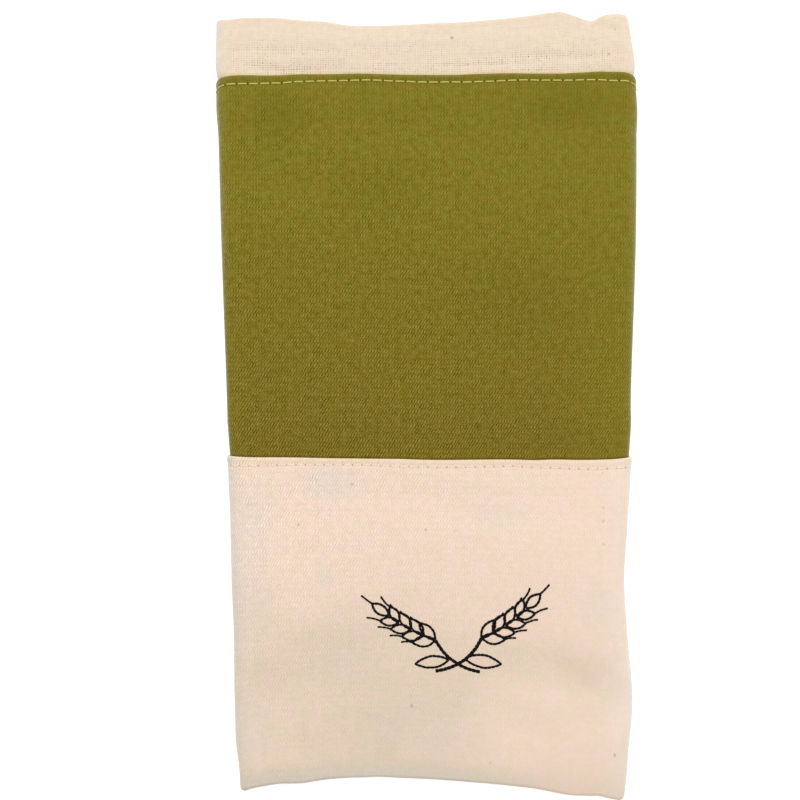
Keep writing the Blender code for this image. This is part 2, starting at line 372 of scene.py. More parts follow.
# A row of stitches pulls the cloth in and puffs it up past them: depth, place above it and reach
Dent = namedtuple("Dent", "depth above reach")
PULLED = Dent(0.06 * MM, 0.0, 0.9 * MM)
PUFFED = Dent(0.05 * MM, 1.6 * MM, 0.8 * MM)


def groove(above):
    """How much deeper cloth lies at each distance above its row of stitches."""
    pulled, puffed = (
        dent.depth * np.exp(-(((above - dent.above) / dent.reach) ** 2))
        for dent in (PULLED, PUFFED)
    )
    return pulled - puffed


def hang(mesh, points, maps):
    """Adds a grid of cloth, laid on the points, with named UV maps of its sizes in metres."""
    rows, columns = points.shape[0] - 1, points.shape[1] - 1
    uvs = mesh.loops.layers.uv
    layers = {name: uvs.get(name) or uvs.new(name) for name in maps}
    grid = bmesh.ops.create_grid(mesh, x_segments=columns, y_segments=rows, size=0.5)
    place = {}
    for vertex in grid["verts"]:
        column = round((vertex.co.x + 0.5) * columns)
        row = round((vertex.co.y + 0.5) * rows)
        place[vertex] = (row, column)
        vertex.co = points[row, column]
    for face in {face for vertex in grid["verts"] for face in vertex.link_faces}:
        for loop in face.loops:
            for name, layer in layers.items():
                loop[layer].uv = maps[name][place[loop.vert]]


def cloth_grid(rows, counts, back, stitch_height):
    """Points of one side of a cloth, and its sizes across, along and up from the stitches."""
    u = np.array([columns_at(row.height, counts, back) for row in rows])
    height = np.array([[row.height] for row in rows])
    above = height - stitch_height(u)
    depth = np.array([[row.depth] for row in rows]) + groove(above)
    along = np.broadcast_to([[row.along] for row in rows], u.shape)
    return lay(u, height, depth, back), np.stack([u, along, along + above - height], axis=-1)


def weld(mesh, distance):
    """Makes a mesh one where its grids meet, and turns its faces outward."""
    bmesh.ops.remove_doubles(mesh, verts=mesh.verts, dist=distance)
    bmesh.ops.recalc_face_normals(mesh, faces=mesh.faces)


def smooth_object(name, mesh, material):
    """An object in the scene with a finished mesh and its material."""
    data = bpy.data.meshes.new(name)
    mesh.to_mesh(data)
    mesh.free()
    data.shade_smooth()
    data.materials.append(material)
    piece = bpy.data.objects.new(name, data)
    scene.collection.objects.link(piece)
    return piece


def cloth_piece(name, grids, thickness, material):
    """One cloth, made one down the side folds of the tube and given its thickness."""
    mesh = bmesh.new()
    for points, sizes in grids:
        hang(mesh, points, {"flat": sizes[..., :2], "seam": sizes[..., ::2]})
    weld(mesh, 0.01 * MM)
    piece = smooth_object(name, mesh, material)
    wall = piece.modifiers.new("cloth", "SOLIDIFY")
    wall.thickness = thickness
    wall.offset = 0
    wall.use_even_offset = True
    return piece


def tube_piece(name, rows, columns, stitch_height, thickness, material):
    """A cloth tube that lies flat: its front, with columns of its own, and its back."""
    front = cloth_grid(rows, columns, False, stitch_height)
    back = cloth_grid(rows, BACK_COLUMNS, True, stitch_height)
    return cloth_piece(name, [front, back], thickness, material)


def op(tree, operation, *values):
    """A math node's output; each value is a number or another node's output."""
    node = tree.nodes.new("ShaderNodeMath")
    node.operation = operation
    for socket, value in zip(node.inputs, values):
        if isinstance(value, (int, float)):
            socket.default_value = value
        else:
            tree.links.new(value, socket)
    return node.outputs[0]


def times(tree, *values):
    """Values multiplied together."""
    return reduce(lambda one, other: op(tree, "MULTIPLY", one, other), values)


def cloudy(tree, vector, scale, detail=2.0, stretch=(1.0, 1.0, 1.0)):
    """A noise node's value over the cloth, 0 to 1; scale is how many clouds fit in a metre."""
    mapping = tree.nodes.new("ShaderNodeMapping")
    mapping.inputs["Scale"].default_value = stretch
    tree.links.new(vector, mapping.inputs["Vector"])
    node = tree.nodes.new("ShaderNodeTexNoise")
    node.inputs["Scale"].default_value = scale
    node.inputs["Detail"].default_value = detail
    tree.links.new(mapping.outputs[0], node.inputs["Vector"])
    return node.outputs[0]


def mottled(tree, *cloud):
    """The same about zero, -0.5 to 0.5."""
    return op(tree, "SUBTRACT", cloudy(tree, *cloud), 0.5)


def ramp(tree, value, low, high, at_low=0.0, at_high=1.0):
    """A value that runs from at_low to at_high while another runs from low to high."""
    node = tree.nodes.new("ShaderNodeMapRange")
    ends = {"From Min": low, "From Max": high, "To Min": at_low, "To Max": at_high}
    for name, end in ends.items():
        node.inputs[name].default_value = end
    tree.links.new(value, node.inputs["Value"])
    return node.outputs[0]


def blend(tree, factor, low, high, kind="MIX"):
    """A colour between low and high; each is a colour or another node's output."""
    node = tree.nodes.new("ShaderNodeMix")
    node.data_type = "RGBA"
    node.blend_type = kind
    for socket, value in ((node.inputs[0], factor), (node.inputs[6], low), (node.inputs[7], high)):
        if isinstance(value, float):
            socket.default_value = value
        elif isinstance(value, tuple):
            socket.default_value = (*value, 1.0)
        else:
            tree.links.new(value, socket)
    return node.outputs[2]


def tinted(tree, share, colour, tint):
    """A colour that is multiplied by a tint as far as share goes, 0 to 1."""
    return blend(tree, share, colour, blend(tree, 1.0, colour, tint, "MULTIPLY"))


def new_material(name, roughness, specular):
    """A material, its node tree and its shader."""
    material = bpy.data.materials.new(name)
    material.use_nodes = True
    shader = material.node_tree.nodes["Principled BSDF"]
    shader.inputs["Roughness"].default_value = roughness
    shader.inputs["Specular IOR Level"].default_value = specular
    return material, material.node_tree, shader


def place_on(tree, uv_map="flat"):
    """A place on the flat cloth, and its parts across and up, in metres."""
    place = tree.nodes.new("ShaderNodeUVMap")
    place.uv_map = uv_map
    parts = tree.nodes.new("ShaderNodeSeparateXYZ")
    tree.links.new(place.outputs[0], parts.inputs[0])
    return place.outputs[0], parts.outputs[0], parts.outputs[1]


def cloth_material(name, specular, sheen):
    """A matt cloth's material, its node tree and its shader."""
    material, tree, shader = new_material(name, 0.9, specular)
    shader.inputs["Sheen Weight"].default_value = sheen
    shader.inputs["Sheen Roughness"].default_value = 0.35
    return material, tree, shader


def finish(tree, shader, colour, height, depth):
    """Gives the shader its colour, and bumps it by a height that stands for depth in metres."""
    tree.links.new(colour, shader.inputs["Base Color"])
    bump = tree.nodes.new("ShaderNodeBump")
    bump.inputs["Strength"].default_value = 1.0
    bump.inputs["Distance"].default_value = depth
    tree.links.new(height, bump.inputs["Height"])
    tree.links.new(bump.outputs[0], shader.inputs["Normal"])


WARP_WANDER = 0.9
WEFTS_SHOWN = 0.2
FLOATS_SHOWN = 3.6


def twill_ribs(tree, angle, pitch, warps_shown, faintest):
    """Twill: diagonal ribs of short floats over the warps, shown unevenly. About -1.5 to 1.5.

    angle is the ribs' in degrees. warps_shown is how strong the warps are beside them, and
    faintest is what is left of both where the weave shows least.
    """
    flat, u, v = place_on(tree)
    angle = math.radians(angle)
    lean, rise = math.cos(angle) / pitch, math.sin(angle) / pitch
    wander = times(tree, mottled(tree, flat, 150.0, 1.0), WARP_WANDER)
    warps = op(tree, "MULTIPLY_ADD", u, rise, wander)
    wefts = times(tree, v, lean)
    across = op(tree, "SUBTRACT", warps, wefts)
    along = op(tree, "MULTIPLY_ADD", v, rise, times(tree, u, lean))
    corner = tree.nodes.new("ShaderNodeCombineXYZ")
    tree.links.new(across, corner.inputs[0])
    tree.links.new(along, corner.inputs[1])
    diagonal = corner.outputs[0]
    turns = (times(tree, part, math.tau) for part in (across, warps, wefts))
    ribs, warps, wefts = (op(tree, "COSINE", turn) for turn in turns)
    lattice = op(tree, "MULTIPLY_ADD", wefts, WEFTS_SHOWN, ribs)
    lattice = op(tree, "MULTIPLY_ADD", warps, warps_shown, lattice)
    shown = cloudy(tree, diagonal, 0.22, 1.0, (1.0, 0.5, 1.0))
    shown = ramp(tree, shown, 0.3, 0.62, faintest, 1.0)
    broken = cloudy(tree, diagonal, 1.1, 0.0, (1.0, 0.75, 1.0))
    broken = ramp(tree, broken, 0.34, 0.62, 0.25, 1.3)
    lattice = times(tree, shown, broken, lattice)
    floats = mottled(tree, diagonal, 2.4, 1.0, (1.0, 0.6, 1.0))
    return op(tree, "MULTIPLY_ADD", floats, FLOATS_SHOWN, lattice)


def flecks(tree, spacing, size, share):
    """Where the cloth has a fleck: 1 inside one and 0 outside, for that share of the cells."""
    cells = tree.nodes.new("ShaderNodeTexVoronoi")
    cells.inputs["Scale"].default_value = 1.0 / spacing
    tree.links.new(place_on(tree)[0], cells.inputs["Vector"])
    parts = tree.nodes.new("ShaderNodeSeparateColor")
    tree.links.new(cells.outputs["Color"], parts.inputs[0])
    chosen = op(tree, "LESS_THAN", parts.outputs[0], share)
    strength = op(tree, "MULTIPLY_ADD", parts.outputs[1], 0.7, 0.3)
    rim, core = 1.3 * size / spacing, 0.6 * size / spacing
    near = ramp(tree, cells.outputs["Distance"], core, rim, 1.0, 0.0)
    return times(tree, chosen, near, strength)


def needle_holes(tree, pitch, radius):
    """Where the needle went through, painted dark as the shade in each hole: 1 in each hole of a
    row of stitches, some of them faint.
    """
    _, u, above = place_on(tree, "seam")
    count = op(tree, "DIVIDE", u, pitch)
    nearest = op(tree, "ROUND", count)
    aside = times(tree, op(tree, "SUBTRACT", count, nearest), pitch)
    squares = [op(tree, "POWER", part, 2.0) for part in (aside, above)]
    away = op(tree, "SQRT", op(tree, "ADD", *squares))
    inside = ramp(tree, away, 0.4 * radius, 1.25 * radius, 1.0, 0.0)
    chance = tree.nodes.new("ShaderNodeTexWhiteNoise")
    chance.noise_dimensions = "1D"
    tree.links.new(nearest, chance.inputs["W"])
    return times(tree, inside, ramp(tree, chance.outputs[0], 0.0, 1.0, 0.6, 1.0))


def soft_spot(tree, patch):
    """A patch on the cloth, in mm and degrees: 1 in its middle, fading to 0 at its rim."""
    mapping = tree.nodes.new("ShaderNodeMapping")
    mapping.vector_type = "TEXTURE"
    half_sizes = (patch.half_width * MM, patch.half_height * MM, 1.0)
    mapping.inputs["Location"].default_value = (patch.u * MM, patch.v * MM, 0.0)
    mapping.inputs["Rotation"].default_value = (0.0, 0.0, math.radians(patch.turn))
    mapping.inputs["Scale"].default_value = half_sizes
    tree.links.new(place_on(tree)[0], mapping.inputs["Vector"])
    length = tree.nodes.new("ShaderNodeVectorMath")
    length.operation = "LENGTH"
    tree.links.new(mapping.outputs[0], length.inputs[0])
    fade = op(tree, "SUBTRACT", 1.0, op(tree, "MINIMUM", length.outputs["Value"], 1.0))
    return op(tree, "SMOOTH_MIN", times(tree, fade, 1.6), 1.0, 0.4)


def patched(tree, table, total=0.0):
    """A value to which each patch of a table adds its share."""
    for patch in table:
        total = op(tree, "MULTIPLY_ADD", soft_spot(tree, patch), patch.share, total)
    return total


def toned(tree, colour, tone, share, added):
    """A colour with a weave's tone in it: multiplied by its share, and a little of it added."""
    colour = blend(tree, 1.0, colour, op(tree, "MULTIPLY_ADD", tone, share, 1.0), "MULTIPLY")
    return blend(tree, 1.0, colour, times(tree, tone, added), "ADD")


def sheen_at_side_folds(tree, colour, tint, rim):
    """A colour painted paler along the side folds of the bundle, the more so past the rim: a
    painted sheen where the cloth turns away.
    """
    away = op(tree, "ABSOLUTE", place_on(tree)[1])
    for start, stop in ((70.0 * MM, 76.0 * MM), (rim, rim + 3.0 * MM)):
        colour = tinted(tree, ramp(tree, away, start, stop), colour, tint)
    return colour


NATURAL_PALE = (0.713, 0.543, 0.453)
# The colour of the twill's painted shade
NATURAL_SHADED = (0.614, 0.487, 0.390)
# The colour of flecks in the cloth, and of the painted shade in needle holes
FLECK_AND_HOLE_SHADE = (0.26, 0.16, 0.10)
# Tints, which multiply a colour
NATURAL_GREENER = (0.972, 1.01, 0.95)
NATURAL_GREYER_SHADE = (0.90, 0.985, 1.03)
NATURAL_EDGE_BOUNCE = (0.885, 0.90, 0.81)
NATURAL_RIGHT_SHEEN = (0.992, 1.045, 1.07)
NATURAL_FOLD_SHEEN = (0.98, 1.04, 1.10)
LOWER_PITCH = 3.35 * MM
TWILL_CLOTH = 0.55 * MM
# A soft patch: its middle and its half sizes across and up the cloth in mm, how much it adds,
# and its turn in degrees
Patch = namedtuple("Patch", "u v half_width half_height share turn", defaults=(0,))
# Patches of painted shade, in which the twill is drawn deeper
SHADE_PATCHES = (
    Patch(-38, 50, 34, 12, 0.3, 32),
    Patch(-20, 22, 12, 32, 0.35, 2),
    Patch(-10, 34, 40, 16, 0.55),
    Patch(2, 42, 44, 20, 0.45),
    Patch(-6, 16, 34, 26, 0.6),
    Patch(58, 44, 24, 8, 0.35, -30),
    Patch(-44, 22, 40, 36, 0.55),
    Patch(-66, 52, 20, 30, 0.35),
    Patch(0, 70, 80, 26, 0.25),
    Patch(-4, 111, 110, 8, 0.36),
    Patch(-12, 50, 46, 10, 0.35),
    Patch(38, 43.5, 26, 10, 0.65, -8),
    Patch(59, 33, 14, 9, 0.5, -30),
    Patch(-4, 90.5, 110, 13, 0.2),
    Patch(-47, 22, 18, 12, 0.2),
    Patch(40, 25.5, 24, 9, 0.25),
    Patch(-49, 56, 20, 8, 0.22),
    Patch(-31, 40, 18, 9, 0.17),
)
# Patches of painted shade, in which the twill turns greyer
GREYER_SHADE_PATCHES = (
    Patch(-35, 109, 14, 9, 0.75),
    Patch(-37, 75, 4, 6, 0.7),
    Patch(-60, 100, 9, 14, 0.4),
    Patch(26, 98, 14, 6, 0.4),
    Patch(60, 66, 8, 12, 0.4),
    Patch(-66, 72, 13, 38, 0.55),
    Patch(-66, 18, 12, 18, 0.6),
    Patch(-31, 40, 16, 9, 0.22),
    Patch(0, 19, 30, 15, 0.2),
)
BODY_SEEDS = (
    Patch(-27, 108.6, 0.9, 0.6, 0.8),
    Patch(-46, 93.7, 0.7, 0.7, 0.8),
    Patch(-0.7, 92.2, 0.6, 0.9, 0.9, 20),
    Patch(9.6, 91.9, 0.8, 0.5, 0.5),
    Patch(62, 113.3, 0.6, 0.6, 0.5),
    Patch(62.3, 96.5, 0.6, 0.8, 0.8),
    Patch(62.4, 101.2, 0.5, 0.6, 0.7),
    Patch(62.5, 88.4, 0.6, 0.6, 0.75),
    Patch(-61, 83.5, 0.6, 0.6, 0.4),
    Patch(-53, 71.9, 0.8, 0.5, 0.5, 30),
    Patch(23, 30.5, 0.6, 0.6, 0.4),
    Patch(-5.7, 26.6, 0.7, 1.1, 1, 10),
    Patch(66.8, 14.9, 0.6, 0.9, 1.1),
    Patch(22.5, 6.9, 0.7, 0.6, 0.5),
)


def natural_twill_material():
    """Undyed twill with painted shade in soft patches, deeper and greyer, and along the bottom
    fold; painted yellow bounce light along its turned edge, a painted paler sheen towards its side
    folds, and painted shade in its needle holes. Its ribs fade down and to the right.
    """
    material, tree, shader = cloth_material("natural_twill", 0.12, 0.35)
    flat, u, v = place_on(tree)
    # Painted shade: darker along the bottom fold, more so on the left, and darker the lower down
    # the face
    low_left = ramp(tree, u, 15.0 * MM, 50.0 * MM, 1.0, 0.5)
    low_left = times(tree, low_left, ramp(tree, v, 7.0 * MM, 0.0))
    painted_shade = op(tree, "ADD", low_left, ramp(tree, v, 95.0 * MM, 40.0 * MM, 0.0, 0.15))
    painted_shade = op(tree, "MINIMUM", patched(tree, SHADE_PATCHES, painted_shade), 1.0)
    colour = blend(tree, painted_shade, NATURAL_PALE, NATURAL_SHADED)
    greener = ramp(tree, cloudy(tree, flat, 190.0, 1.0), 0.40, 0.62)
    colour = tinted(tree, greener, colour, NATURAL_GREENER)
    # Painted shade, greyer: along the bottom fold on the left, and along the left side
    low_left = ramp(tree, u, 10.0 * MM, 45.0 * MM, 1.0, 0.0)
    low_left = times(tree, low_left, ramp(tree, v, 5.5 * MM, 1.0 * MM))
    greyer_shade = op(tree, "ADD", low_left, ramp(tree, u, -66.0 * MM, -70.0 * MM))
    greyer_shade = op(tree, "MINIMUM", patched(tree, GREYER_SHADE_PATCHES, greyer_shade), 1.0)
    colour = tinted(tree, greyer_shade, colour, NATURAL_GREYER_SHADE)

    clouds = mottled(tree, flat, 420.0, 2.0)
    ribs = twill_ribs(tree, 65.0, 0.94 * MM, 0.42, 0.35)
    ribs = op(tree, "MULTIPLY_ADD", clouds, 1.6, ribs)
    shown = ramp(tree, u, -70.0 * MM, 70.0 * MM, 0.13, 0.047)
    shown = times(tree, shown, ramp(tree, v, 0.0, BODY_HEIGHT, 0.45, 1.0))
    tone = op(tree, "MULTIPLY_ADD", clouds, 0.035, times(tree, ribs, shown))
    colour = toned(tree, colour, tone, 0.8, 0.12)

    # Painted yellow bounce light from the band, with a little painted shade, along the body's
    # turned top edge
    edge_bounce_and_shade = ramp(tree, v, BODY_HEIGHT - 2.6 * MM, BODY_HEIGHT - 0.3 * MM)
    colour = tinted(tree, edge_bounce_and_shade, colour, NATURAL_EDGE_BOUNCE)
    # Painted sheen: paler and greyer towards the right side fold
    colour = tinted(tree, ramp(tree, u, 60.0 * MM, 69.0 * MM), colour, NATURAL_RIGHT_SHEEN)
    # Painted sheen along the side folds
    colour = sheen_at_side_folds(tree, colour, NATURAL_FOLD_SHEEN, 70.5 * MM)
    spots = times(tree, flecks(tree, 2.1 * MM, 0.14 * MM, 0.10), 0.6)
    spots = op(tree, "MAXIMUM", spots, times(tree, patched(tree, BODY_SEEDS), 0.46))
    # Flecks in the cloth, and painted shade in the needle holes
    holes = times(tree, needle_holes(tree, LOWER_PITCH, 0.46 * MM), 0.62)
    colour = blend(tree, op(tree, "MAXIMUM", spots, holes), colour, FLECK_AND_HOLE_SHADE)
    finish(tree, shader, colour, ribs, 0.012 * MM)
    return material


TWILL_PLY = 0.60 * MM
HEM = 7.0 * MM
BOTTOM_TURN_ROWS = 10
# How far the topstitching lies below the turned edge, in mm
Drop = namedtuple("Drop", "u below")
LOWER_STITCH_LINE = (
    Drop(-78, 3.1),
    Drop(-65, 3.1),
    Drop(-53, 2.8),
    Drop(-38, 2.4),
    Drop(-24, 2.3),
    Drop(-10, 2.75),
    Drop(4, 2.7),
    Drop(19, 2.6),
    Drop(33, 2.4),
    Drop(47, 3),
    Drop(62, 3.2),
    Drop(78, 3.1),
)


def lower_stitch_height(u):
    """Height of the body's topstitching, which was guided by hand along the turned edge."""
    return BODY_HEIGHT - on_curve(LOWER_STITCH_LINE, "below", u)


body_rows = hem(BODY_HEIGHT, HEM, TWILL_PLY, TWILL_CLOTH)
body_rows += face_rows(BODY_HEIGHT, 0.0, TWILL_PLY, TWILL_CLOTH, step=1.2 * MM)
front, front_flat = cloth_grid(body_rows, FRONT_COLUMNS, False, lower_stitch_height)
back, back_flat = cloth_grid(body_rows, FRONT_COLUMNS, True, lower_stitch_height)
back, back_flat = back[::-1], back_flat[::-1].copy()
half = (front[-1] - back[0]) / 2
middle = (front[-1] + back[0]) / 2
reach = np.linalg.norm(half, axis=1)
bend, bend_flat = [], []
for turned in np.linspace(0, math.pi, BOTTOM_TURN_ROWS + 1)[1:-1]:
    row = middle + half * math.cos(turned)
    row[:, 1] -= reach * math.sin(turned)
    bend.append(row)
    bend_flat.append(front_flat[-1] - np.stack([reach * 0, reach * turned, reach * turned], axis=1))
back_flat[..., 1:] = -back_flat[..., 1:] - math.pi * float(reach.mean())
body_cloth = cloth_piece(
    "body_cloth",
    [(np.concatenate([front, bend, back]), np.concatenate([front_flat, bend_flat, back_flat]))],
    TWILL_CLOTH,
    natural_twill_material(),
)
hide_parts("body")
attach(body_cloth, "root")

# ----------------------------------------
# Lower topstitching. Undyed polyester thread, sewn by machine all round the tube through the
# body's turned edge and the band under it; each stitch dives into a needle hole at both ends.

THREAD_SIDES = 7
STITCH_PHASES = (0.0, 0.05, 0.11, 0.2, 0.35, 0.5, 0.65, 0.8, 0.89, 0.95)
STRAND_PITCH = 0.7 * MM
POINTS_PER_STITCH = 4
# A thread: how deep it is sunk in the cloth, how far its holes stray sideways, how deep it dips
# into them, and how much thinner it is there than in the middle of a stitch
Thread = namedtuple("Thread", "width thickness sunk wobble dip waist")
LOWER_THREAD = Thread(0.30 * MM, 0.18 * MM, 0.072 * MM, 0.09 * MM, 1.0 * MM, 0.35)


def thread_material(name, colour, specular, contrast):
    """Twisted sewing thread: its strands wind round it."""
    material, tree, shader = new_material(name, 0.6, specular)
    _, along, round_it = place_on(tree)
    wound = op(tree, "MULTIPLY_ADD", along, 1 / STRAND_PITCH, round_it)
    strands = op(tree, "SINE", times(tree, wound, math.tau))
    strands = op(tree, "MULTIPLY_ADD", strands, 0.5, 0.5)
    dark = tuple(part * (1 - contrast) for part in colour)
    finish(tree, shader, blend(tree, strands, dark, colour), strands, 0.04 * MM)
    return material


def sew(mesh, line, count, thread, draw, back=False):
    """A length of thread in so many stitches along a line of (u, height) on the cloth."""
    line = np.asarray(line)
    spans = np.linalg.norm(np.diff(line, axis=0), axis=1)
    reached = np.concatenate([[0], np.cumsum(spans)])
    place = np.append((np.arange(count)[:, None] + STITCH_PHASES).ravel(), count)
    holes = [draw.uniform(-thread.wobble, thread.wobble) for _ in range(count + 1)]
    middle = [np.interp(place / count * reached[-1], reached, line[:, axis]) for axis in (0, 1)]
    run = np.gradient(np.stack(middle, axis=1), axis=0)
    run /= np.linalg.norm(run, axis=1, keepdims=True)
    from_middle = np.abs(2 * (place - np.floor(place)) - 1)
    sinking = thread.dip * from_middle**9 + thread.sunk
    stout = 1 - thread.waist * from_middle**4
    stout[[0, -1]] = 0.0
    round_it = np.linspace(0, math.tau, THREAD_SIDES + 1)
    aside = np.outer(thread.width / 2 * stout, np.cos(round_it))
    aside += np.interp(place, range(count + 1), holes)[:, None]
    depth = sinking[:, None] - np.outer(thread.thickness / 2 * stout, np.sin(round_it))
    across = middle[0][:, None] - run[:, 1:] * aside
    up = middle[1][:, None] + run[:, :1] * aside
    length = (place / count * reached[-1])[:, None]
    sizes = np.stack(np.broadcast_arrays(length, round_it[None] / math.tau), axis=-1)
    hang(mesh, lay(across, up, depth, back), {"flat": sizes})


def thread_piece(name, mesh, material):
    """A piece of all the thread in a mesh."""
    weld(mesh, 0.001 * MM)
    piece = smooth_object(name, mesh, material)
    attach(piece, "root")


def topstitch(name, stitch_height, pitch, thread, material, seed):
    """A row of machine stitches round the tube, on its front and on its back."""
    draw = random.Random(seed)
    mesh = bmesh.new()
    for back in (False, True):
        ends = columns_at(float(stitch_height(0.0)), (1,) * 7, back)
        first, last = math.ceil(ends[0] / pitch), math.floor(ends[-1] / pitch)
        points = (last - first) * POINTS_PER_STITCH + 1
        u = np.linspace(first * pitch, last * pitch, points)
        line = np.stack([u, stitch_height(u)], axis=1)
        sew(mesh, line, last - first, thread, draw, back)
    thread_piece(name, mesh, material)


ecru_thread = thread_material("ecru_thread", (0.765, 0.60, 0.50), 0.1, 0.05)
topstitch("lower_topstitch", lower_stitch_height, LOWER_PITCH, LOWER_THREAD, ecru_thread, 11)

# ----------------------------------------
# Embroidery. A sprig of two wheat ears, outlined by machine in black thread: short stitches end
# to end, a little out of line with each other, heavier along the stalks.

MOTIF_U = 9.7 * MM
MOTIF_HEIGHT = 56.0 * MM
THIN_LINE = 0.95 * MM
THICK_LINE = 1.35 * MM
AWN_LINE = 0.8 * THIN_LINE
MOTIF_STITCH = 1.5
MOTIF_THREAD = Thread(THIN_LINE, 0.45 * MM, 0.02 * MM, 0.08 * MM, 0.12 * MM, 0.16)

# The drawing is in mm and radians
PAIRS = 4
GRAIN_LENGTH = 8.2
SHORTER_BY = 1.9
GRAIN_SLENDER = 0.46
GRAIN_LEAN = 0.50
AWN_LENGTH = 4.2
LONGER_BY = 1.2
AWN_LEAN = 0.30
TOP_GRAIN = (7.4, 3.4)
TOP_AWN = 5.0


def pointing(angle):
    """A step of 1 mm at an angle."""
    return np.array((math.cos(angle), math.sin(angle)))


def bow(start, stop, sag, steps=24):
    """Points of a shallow arc from start to stop that bows sag to the left of its run."""
    start, stop = np.array(start), np.array(stop)
    run = stop - start
    left = np.array((-run[1], run[0])) / np.linalg.norm(run)
    t = np.linspace(0, 1, steps)[:, None]
    return start + run * t + left * sag * 4 * t * (1 - t)


def grain(base, angle, length, width):
    """A pointed grain in outline, from its base out along one side and back along the other."""
    tip = base + length * pointing(angle)
    return np.concatenate([bow(base, tip, width / 2), bow(tip, base, width / 2)[1:]])


def ear(stalk_foot, ear_foot, ear_tip, sag):
    """Lines of one wheat ear: its stalk, its grains in pairs and their awns."""
    lines = [(THICK_LINE, bow(stalk_foot, ear_foot, sag))]
    spine = bow(ear_foot, ear_tip, sag * 0.35, 40)
    for pair in range(PAIRS):
        place = pair / PAIRS
        at = int(place * (len(spine) - 1))
        ahead = spine[min(at + 3, len(spine) - 1)] - spine[max(at - 3, 0)]
        heading = math.atan2(ahead[1], ahead[0])
        size = GRAIN_LENGTH - SHORTER_BY * place
        for side in (-1, 1):
            angle = heading + side * GRAIN_LEAN
            lines.append((THIN_LINE, grain(spine[at], angle, size, size * GRAIN_SLENDER)))
            tip = spine[at] + size * pointing(angle)
            awn = (AWN_LENGTH + LONGER_BY * place) * pointing(heading + side * AWN_LEAN)
            lines.append((AWN_LINE, bow(tip, tip + awn, -side * 0.3, 10)))
    last = spine[-1] - spine[-4]
    heading = math.atan2(last[1], last[0])
    lines.append((THIN_LINE, grain(spine[-2], heading, *TOP_GRAIN)))
    tip = spine[-2] + TOP_GRAIN[0] * pointing(heading)
    lines.append((AWN_LINE, bow(tip, tip + TOP_AWN * pointing(heading), 0.0, 10)))
    return lines


sprig = ear((9.0, -15.5), (-7.0, -4.5), (-24.0, 4.5), 2.5)
sprig += ear((-7.0, -16.0), (9.5, -3.0), (25.5, 9.0), -2.8)
sprig.append((THIN_LINE, grain((3.5, -10.8), -0.12, 13.0, 4.6)))
sprig.append((THIN_LINE, grain((-2.2, -11.6), math.pi + 0.18, 12.0, 4.2)))

motif_draw = random.Random(5)
mesh = bmesh.new()
for width, line in sprig:
    length = np.linalg.norm(np.diff(line, axis=0), axis=1).sum()
    place = line * MM + (MOTIF_U, MOTIF_HEIGHT)
    stitches = max(2, round(length / MOTIF_STITCH))
    sew(mesh, place, stitches, MOTIF_THREAD._replace(width=width), motif_draw)
black_thread = thread_material("black_thread", (0.005, 0.0035, 0.0035), 0.08, 0.25)
thread_piece("wheat_motif", mesh, black_thread)

# ----------------------------------------
# Band. A tube of olive twill: its lower edge runs in under the body's turned edge, and its upper
# edge is turned under and sewn down on the collar.

OLIVE = (0.168, 0.133, 0.0122)
OLIVE_GREENER = (0.152, 0.139, 0.0137)
UPPER_HOLE_SHADE = (0.05, 0.035, 0.002)
# Tints, which multiply a colour
OLIVE_BROWNER = (0.925, 0.86, 0.97)
OLIVE_DEEP = (0.88, 0.90, 0.80)
OLIVE_SHADED = (0.72, 0.68, 0.90)
OLIVE_STITCH_SHADE = (0.90, 0.90, 1.0)
OLIVE_EDGE_SHEEN = (1.25, 1.19, 2.8)
OLIVE_FOLD_SHEEN = (1.15, 1.24, 2.2)
OLIVE_DEEPER = (
    Patch(-53, 242, 13, 15, 0.65),
    Patch(49, 244.5, 17, 10, 0.8),
    Patch(-18, 214, 26, 14, 0.5, 20),
    Patch(30, 176, 30, 18, 0.4, -15),
)
UPPER_PITCH = 4.0 * MM
LAPPED = 1.62 * MM - TWILL_PLY / 2


